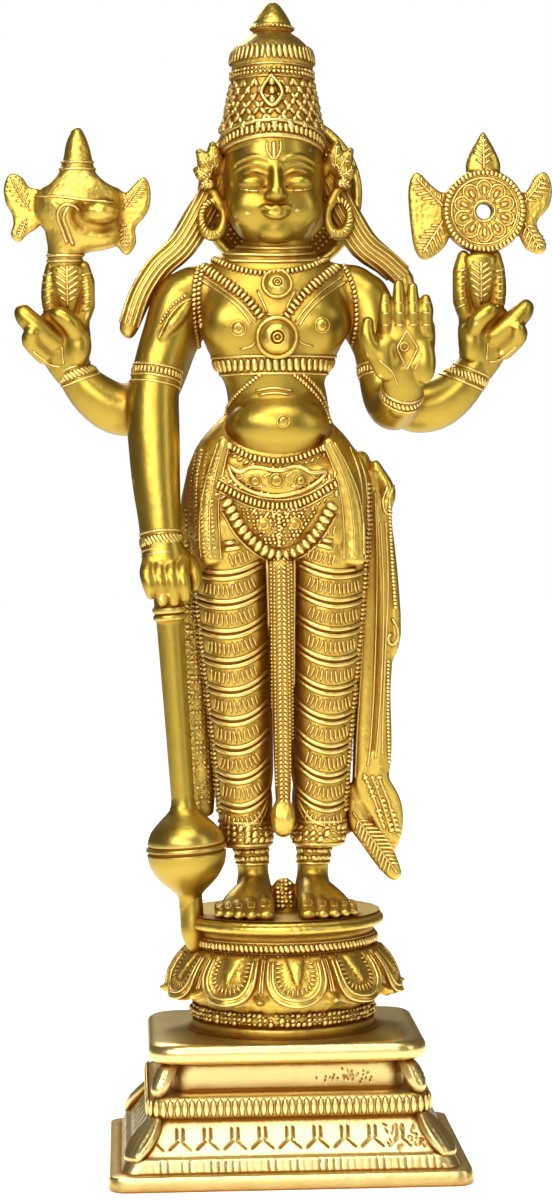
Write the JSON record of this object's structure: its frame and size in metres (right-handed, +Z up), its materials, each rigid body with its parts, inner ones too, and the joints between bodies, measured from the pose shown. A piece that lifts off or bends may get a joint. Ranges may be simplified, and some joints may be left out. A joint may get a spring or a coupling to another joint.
{
  "type": "vishnu figure",
  "caption": "Cast brass standing four-armed Vishnu with conch, disc and mace, on a round lotus seat and an oblong stepped plinth.",
  "frame": {"origin": "middle of the plinth's flat underside", "axes": "+Z up, the figure faces -Y, +X to the viewer's right"},
  "size_m": [0.1414, 0.079, 0.3001],
  "materials": {
    "figure_brass": "polished on the high parts, brown patina left in the chased recesses",
    "plinth_brass": "polished mouldings, brown patina left in the cut grooves"
  },
  "bodies": {
    "root": {"vishnu_on_lotus": "figure_brass", "stepped_plinth": "plinth_brass"}
  },
  "joints": []
}
